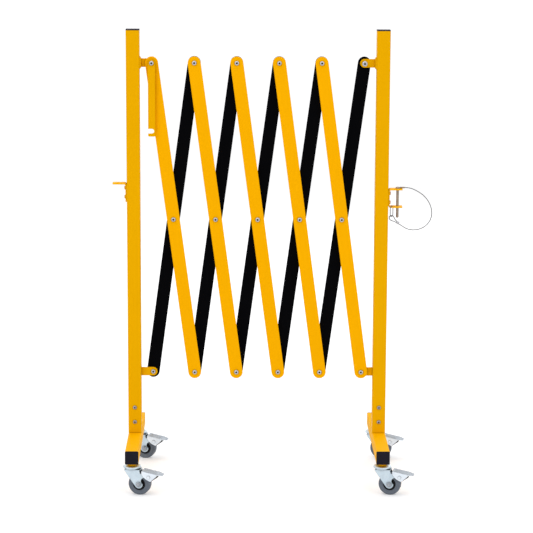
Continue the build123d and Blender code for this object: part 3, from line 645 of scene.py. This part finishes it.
def axle_places(corner):
    """The two outer faces of the fork round the axle, the front one first."""
    place = axle_frame(corner)
    out = Matrix.Translation((0, 0, HUB_FACE))
    return place @ out, place @ Matrix.Rotation(math.pi, 4, "X") @ out


def axle_washers(made, corner):
    for place in axle_places(corner):
        turned_solid(made, place, [(WASHER_RADIUS, 0, -WASHER_SINK),
                                   (WASHER_RADIUS, 0, WASHER_THICKNESS - WASHER_CHAMFER),
                                   (WASHER_RADIUS - WASHER_CHAMFER, 0, WASHER_THICKNESS)])


def axle_nuts(made, corner):
    crown = WASHER_THICKNESS + NUT_HEIGHT
    flats = [(0, NUT_FLAT, WASHER_THICKNESS - NUT_SINK), (0, NUT_FLAT, crown - FLATS_BELOW_CROWN)]
    for place, ending in zip(axle_places(corner), (THREAD_END, DISHED_HEAD)):
        turned_solid(made, place, flats + [(radius * MM, 0, crown + height * MM)
                                           for radius, height in NUT_CHAMFER + ending])


for corner in CORNERS:
    mesh_piece(f"{corner}_axle_washers", lambda made: axle_washers(made, corner), ZINC,
               f"{corner}_castor", smooth_angle=40.0)
    mesh_piece(f"{corner}_axle_nuts", lambda made: axle_nuts(made, corner), NUT_STEEL,
               f"{corner}_castor", smooth_angle=40.0)


# The wire rope. Its points repeat the CAD route, in millimetres, with the first number
# counted from the right post's outer face
ROPE_POINTS = [
    (37.3, 0.0, 670.55), (48.0, 0.0, 670.55), (64.0, -1.2, 664.0), (79.0, -2.4, 654.5),
    (91.0, -3.8, 641.0), (98.0, -5.2, 625.0), (99.5, -6.5, 608.0), (93.5, -7.6, 592.5),
    (82.0, -8.5, 581.5), (68.0, -9.2, 575.8), (52.5, -9.7, 575.2), (40.5, -10.0, 578.6),
    (29.0, -10.0, 586.35), (15.0, -10.0, 594.5), (7.0, -10.0, 596.6), (1.9, -10.0, 601.0),
    (3.9, -10.0, 607.9), (11.6, -10.0, 608.9), (16.25, -10.0, 596.67), (24.7, -10.0, 591.75),
]
ROPE_RADIUS = 1.0 * MM
ROPE_STEP = 0.7 * MM
STRANDS = 6
STRAND_LAY = 9.0 * MM
STRAND_SHARE = 0.37  # of the rope's radius
STRAND_SIDES = 6
SPLINE_RESOLUTION = 24
post_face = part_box("right_post")[1].x
rope_route = [Vector((post_face + out * MM, y * MM, z * MM)) for out, y, z in ROPE_POINTS]


def nurbs_line(name, points):
    """Points read along the smooth NURBS spline that has these control points."""
    curve = bpy.data.curves.new(name, "CURVE")
    curve.dimensions = "3D"
    curve.resolution_u = SPLINE_RESOLUTION
    spline = curve.splines.new("NURBS")
    spline.points.add(len(points) - 1)
    for point, place in zip(spline.points, points):
        point.co = (*place, 1.0)
    spline.order_u = 3
    spline.use_endpoint_u = True
    holder = bpy.data.objects.new(name, curve)
    bpy.context.scene.collection.objects.link(holder)
    evaluated = holder.evaluated_get(bpy.context.evaluated_depsgraph_get())
    mesh = bpy.data.meshes.new_from_object(evaluated)
    line = [vertex.co.copy() for vertex in mesh.vertices]
    bpy.data.objects.remove(holder)
    bpy.data.curves.remove(curve)
    bpy.data.meshes.remove(mesh)
    return line


def lengths_along(line):
    """How far along the line each of its points lies."""
    lengths = [0.0]
    for a, b in zip(line, line[1:]):
        lengths.append(lengths[-1] + (b - a).length)
    return lengths


def spaced(line, step):
    """The same line with points evenly spaced along it."""
    lengths = lengths_along(line)
    count = max(2, round(lengths[-1] / step))
    made, k = [], 0
    for n in range(count + 1):
        want = lengths[-1] * n / count
        while k < len(line) - 2 and lengths[k + 1] < want:
            k += 1
        run = lengths[k + 1] - lengths[k]
        made.append(line[k].lerp(line[k + 1], (want - lengths[k]) / run if run else 0.0))
    return made


def carried_frames(line):
    """Each point with two directions across the line, turning as little as they can."""
    frames = []
    side = None
    for k, point in enumerate(line):
        before, after = line[max(0, k - 1)], line[min(len(line) - 1, k + 1)]
        tangent = (after - before).normalized()
        if side is None:
            side = tangent.orthogonal().normalized()
        side = (side - tangent * side.dot(tangent)).normalized()
        frames.append((point, side, tangent.cross(side)))
    return frames


def tube(made, centres, radius, sides, swell=lambda k: 1.0):
    """A closed round tube along a list of points, which may swell and shrink along them."""
    rings = []
    for k, (point, side, other) in enumerate(carried_frames(centres)):
        out = radius * swell(k)
        rings.append([made.verts.new(point + out * (math.cos(turn) * side
                                                    + math.sin(turn) * other))
                      for turn in turns(sides)])
    join_rings(made, rings)


rope_line = spaced(nurbs_line("rope_line", rope_route), ROPE_STEP)


def stranded_rope(made):
    """A core strand and the strands that wind round it."""
    strand = ROPE_RADIUS * STRAND_SHARE
    tube(made, rope_line, strand, STRAND_SIDES)
    for start in turns(STRANDS):
        centres = []
        for (point, side, other), travelled in zip(carried_frames(rope_line),
                                                   lengths_along(rope_line)):
            turn = 2 * math.pi * travelled / STRAND_LAY + start
            centres.append(point + (ROPE_RADIUS - strand)
                           * (math.cos(turn) * side + math.sin(turn) * other))
        tube(made, centres, strand, STRAND_SIDES)


rope = mesh_piece("wire_rope", stranded_rope, ROPE_STEEL, None,
                  smooth_angle=60.0)
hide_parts("pin_lanyard")
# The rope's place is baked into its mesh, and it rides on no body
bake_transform(rope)

# The rope's clamp, a flat crimped sleeve on both strands of the eye
CLAMPED_POINT = 12  # the clamp lies on the rope between this point and the next
CLAMP_START = 0.34  # of the way between them
CLAMP_OFFSET = 1.25 * MM  # from the rope's line to between its two strands
CLAMP_FLAT = 1.4 * MM  # half of the section's flat part
CLAMP_ROUND = 1.9 * MM  # the radius of the section's ends
CLAMP_SIDES = 28
# How far from the clamp's start, in millimetres, and how much of its thickness is left there
CLAMP_CRIMPS = [(0.0, 0.90), (0.35, 1.0), (1.3, 1.0), (1.7, 0.86), (2.3, 0.86), (2.8, 1.0),
                (3.2, 1.0), (3.7, 0.86), (4.3, 0.86), (4.7, 1.0), (5.65, 1.0), (6.0, 0.90)]
NEARLY_NONE = 1e-6


def clamp_sleeve(made):
    clamp_from, clamp_to = rope_route[CLAMPED_POINT], rope_route[CLAMPED_POINT + 1]
    run = clamp_to - clamp_from
    along = run.normalized()
    outward = Vector((0, 1, 0))
    side = outward.cross(along).normalized()
    start = clamp_from + run * CLAMP_START + side * CLAMP_OFFSET
    rings = []
    for out, thickness in CLAMP_CRIMPS:
        centre = start + along * (out * MM)
        ring = []
        for turn in turns(CLAMP_SIDES):
            across = math.cos(turn)
            sign = (across > NEARLY_NONE) - (across < -NEARLY_NONE)
            wide = sign * CLAMP_FLAT + CLAMP_ROUND * across
            thick = CLAMP_ROUND * thickness * math.sin(turn)
            ring.append(made.verts.new(centre + side * wide + outward * thick))
        rings.append(ring)
    join_rings(made, rings)


clamp = mesh_piece("rope_clamp", clamp_sleeve, BOLT_STEEL, "right_post")


# Weld beads: round the bosses under the feet, and on the top brackets
BEAD_RADIUS = 1.4 * MM
BEAD_STEP = 0.35 * MM
BEAD_SIDES = 14
BEAD_RIPPLE = 1.75 * MM  # from one ripple to the next
RIPPLE_LOW, RIPPLE_RISE, RIPPLE_POWER = 0.90, 0.16, 1.5
BOSS_RADIUS = 9.0 * MM
BEAD_OUTSIDE_BOSS = 0.3 * MM
RING_STEPS, RING_LAP = 120, 5
BRACKET_PLATE = 3.0 * MM
TAB_HALF_THICKNESS = 2.5 * MM
TAB_HALF_WIDTH = 9.5 * MM


def ripple(k):
    """The size of a weld's ripple at a point of its line, steep on one side."""
    along = (k * BEAD_STEP / BEAD_RIPPLE) % 1.0
    return RIPPLE_LOW + RIPPLE_RISE * (1.0 - along) ** RIPPLE_POWER


def bead(made, line):
    tube(made, spaced(line, BEAD_STEP), BEAD_RADIUS, BEAD_SIDES, ripple)


def ring_bead(made, centre, radius):
    """A bead right round a boss, whose end laps over its start."""
    angles = [2 * math.pi * k / RING_STEPS for k in range(RING_STEPS + RING_LAP)]
    bead(made, [centre + radius * Vector((math.cos(turn), math.sin(turn), 0.0))
                for turn in angles])


def bracket_beads(made, side, toward_middle):
    """Beads over and under a bracket's plate, and down both sides of its tab."""
    low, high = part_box(f"{side}_top_bracket")
    post_at = low.x if toward_middle > 0 else high.x
    plate_at = post_at + toward_middle * BRACKET_PLATE
    middle = (low.z + high.z) / 2
    for z in (low.z, high.z):
        bead(made, [Vector((post_at, low.y + BEAD_RADIUS, z)),
                    Vector((post_at, high.y - BEAD_RADIUS, z))])
    for y in (-TAB_HALF_THICKNESS, TAB_HALF_THICKNESS):
        bead(made, [Vector((plate_at, y, middle - TAB_HALF_WIDTH + BEAD_RADIUS)),
                    Vector((plate_at, y, middle + TAB_HALF_WIDTH - BEAD_RADIUS))])


for corner in CORNERS:
    swivel = Vector(joints[f"{corner}_swivel"]["pos_m"])
    side = corner.split("_")[0]
    under_foot = Vector((swivel.x, swivel.y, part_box(f"{side}_foot_end_caps")[0].z))
    mesh_piece(f"{corner}_boss_weld",
               lambda made: ring_bead(made, under_foot, BOSS_RADIUS + BEAD_OUTSIDE_BOSS),
               LIT_FOOT_YELLOW, f"{side}_post", smooth_angle=60.0)
for side, toward_middle in (("left", 1), ("right", -1)):
    mesh_piece(f"{side}_bracket_weld", lambda made: bracket_beads(made, side, toward_middle),
               POST_YELLOW, f"{side}_post", smooth_angle=60.0)


# Camera, fitted to the photograph's key points
SENSOR_WIDTH, LENS = 36.0, 143.971  # millimetres
CAMERA_PLACE = (-0.057839, -4.760302, 1.358370)
YAW, PITCH, ROLL = 0.0138633, 0.180666, 0.0043574  # radians
CLIP_START, CLIP_END = 0.05, 100.0

camera_data = bpy.data.cameras.new("camera")
camera_data.sensor_width = SENSOR_WIDTH
camera_data.lens = LENS
camera_data.clip_start = CLIP_START
camera_data.clip_end = CLIP_END
camera = bpy.data.objects.new("camera", camera_data)
bpy.context.scene.collection.objects.link(camera)
bpy.context.scene.camera = camera
ahead = Vector((math.sin(YAW) * math.cos(PITCH), math.cos(YAW) * math.cos(PITCH),
                -math.sin(PITCH)))
level_right = Vector((math.cos(YAW), -math.sin(YAW), 0.0))
level_up = level_right.cross(ahead)
right = level_right * math.cos(ROLL) + level_up * math.sin(ROLL)
upright = right.cross(ahead)
turned = Matrix((right, upright, -ahead)).transposed().to_4x4()
camera.matrix_world = Matrix.Translation(CAMERA_PLACE) @ turned


# Studio: a pale floor, a white surround and large soft lamps
FLOOR_SIZE, FLOOR_PARTS = 40.0, 4
FLOOR_COLOUR = (0.86, 0.86, 0.87, 1.0)
WHITE = (1.0, 1.0, 1.0, 1.0)
GLOW_DISTANCES = (2.0, 7.0)  # the floor's glow rises between these distances, in metres
GLOW_STRENGTHS = (0.24, 0.53)
SURROUND_LIGHT, SURROUND_SEEN = 0.62, 1.0  # as light on the object, and where it is seen
# Place, width and height, power in watts, and the point that the lamp faces
LAMPS = {
    "key": ((-2.6, -3.0, 3.2), (3.6, 3.2), 62.0, (0.0, 0.0, 0.55)),
    "fill": ((3.0, -2.8, 2.2), (3.4, 3.2), 36.0, (0.0, 0.0, 0.50)),
    "top": ((0.0, 0.2, 3.6), (3.6, 3.2), 44.0, (0.0, 0.0, 0.0)),
    "back": ((0.6, 3.2, 2.4), (3.4, 2.6), 36.0, (0.0, 0.0, 0.5)),
}


def floor_material():
    """A pale matt floor that glows a little where it is seen, more so further out."""
    material = bpy.data.materials.new("pale_floor")
    material.use_nodes = True
    tree = Tree(material.node_tree)
    tree.nodes.clear()
    output = tree.nodes.new("ShaderNodeOutputMaterial")
    diffuse = tree.nodes.new("ShaderNodeBsdfDiffuse")
    diffuse.inputs["Color"].default_value = FLOOR_COLOUR
    glow = tree.nodes.new("ShaderNodeEmission")
    glow.inputs["Color"].default_value = WHITE
    place = tree.nodes.new("ShaderNodeTexCoord").outputs["Object"]
    distance = tree.vector_math("LENGTH", place, output="Value")
    strength = tree.ramp(distance, *GLOW_DISTANCES, *GLOW_STRENGTHS)
    tree.link(tree.math("MULTIPLY", strength, tree.seen_directly()), glow.inputs["Strength"])
    add = tree.nodes.new("ShaderNodeAddShader")
    tree.link(diffuse.outputs["BSDF"], add.inputs[0])
    tree.link(glow.outputs["Emission"], add.inputs[1])
    tree.link(add.outputs["Shader"], output.inputs["Surface"])
    return material


floor_mesh = bpy.data.meshes.new("floor")
flat = bmesh.new()
bmesh.ops.create_grid(flat, x_segments=FLOOR_PARTS, y_segments=FLOOR_PARTS, size=FLOOR_SIZE)
flat.to_mesh(floor_mesh)
flat.free()
floor_mesh.materials.append(floor_material())
floor = bpy.data.objects.new("floor", floor_mesh)
bpy.context.scene.collection.objects.link(floor)

world = bpy.data.worlds.new("studio")
world.use_nodes = True
bpy.context.scene.world = world
surround = Tree(world.node_tree)
background = surround.nodes["Background"]
background.inputs["Color"].default_value = WHITE
strength = surround.ramp(surround.seen_directly(), 0.0, 1.0, SURROUND_LIGHT, SURROUND_SEEN)
surround.link(strength, background.inputs["Strength"])

for name, (place, size, power, target) in LAMPS.items():
    lamp = bpy.data.lights.new(name, "AREA")
    lamp.shape = "RECTANGLE"
    lamp.size, lamp.size_y = size
    lamp.energy = power
    holder = bpy.data.objects.new(name, lamp)
    bpy.context.scene.collection.objects.link(holder)
    holder.location = place
    holder.rotation_euler = (Vector(target) - Vector(place)).to_track_quat("-Z", "Y").to_euler()

bpy.context.scene.view_settings.view_transform = "Standard"
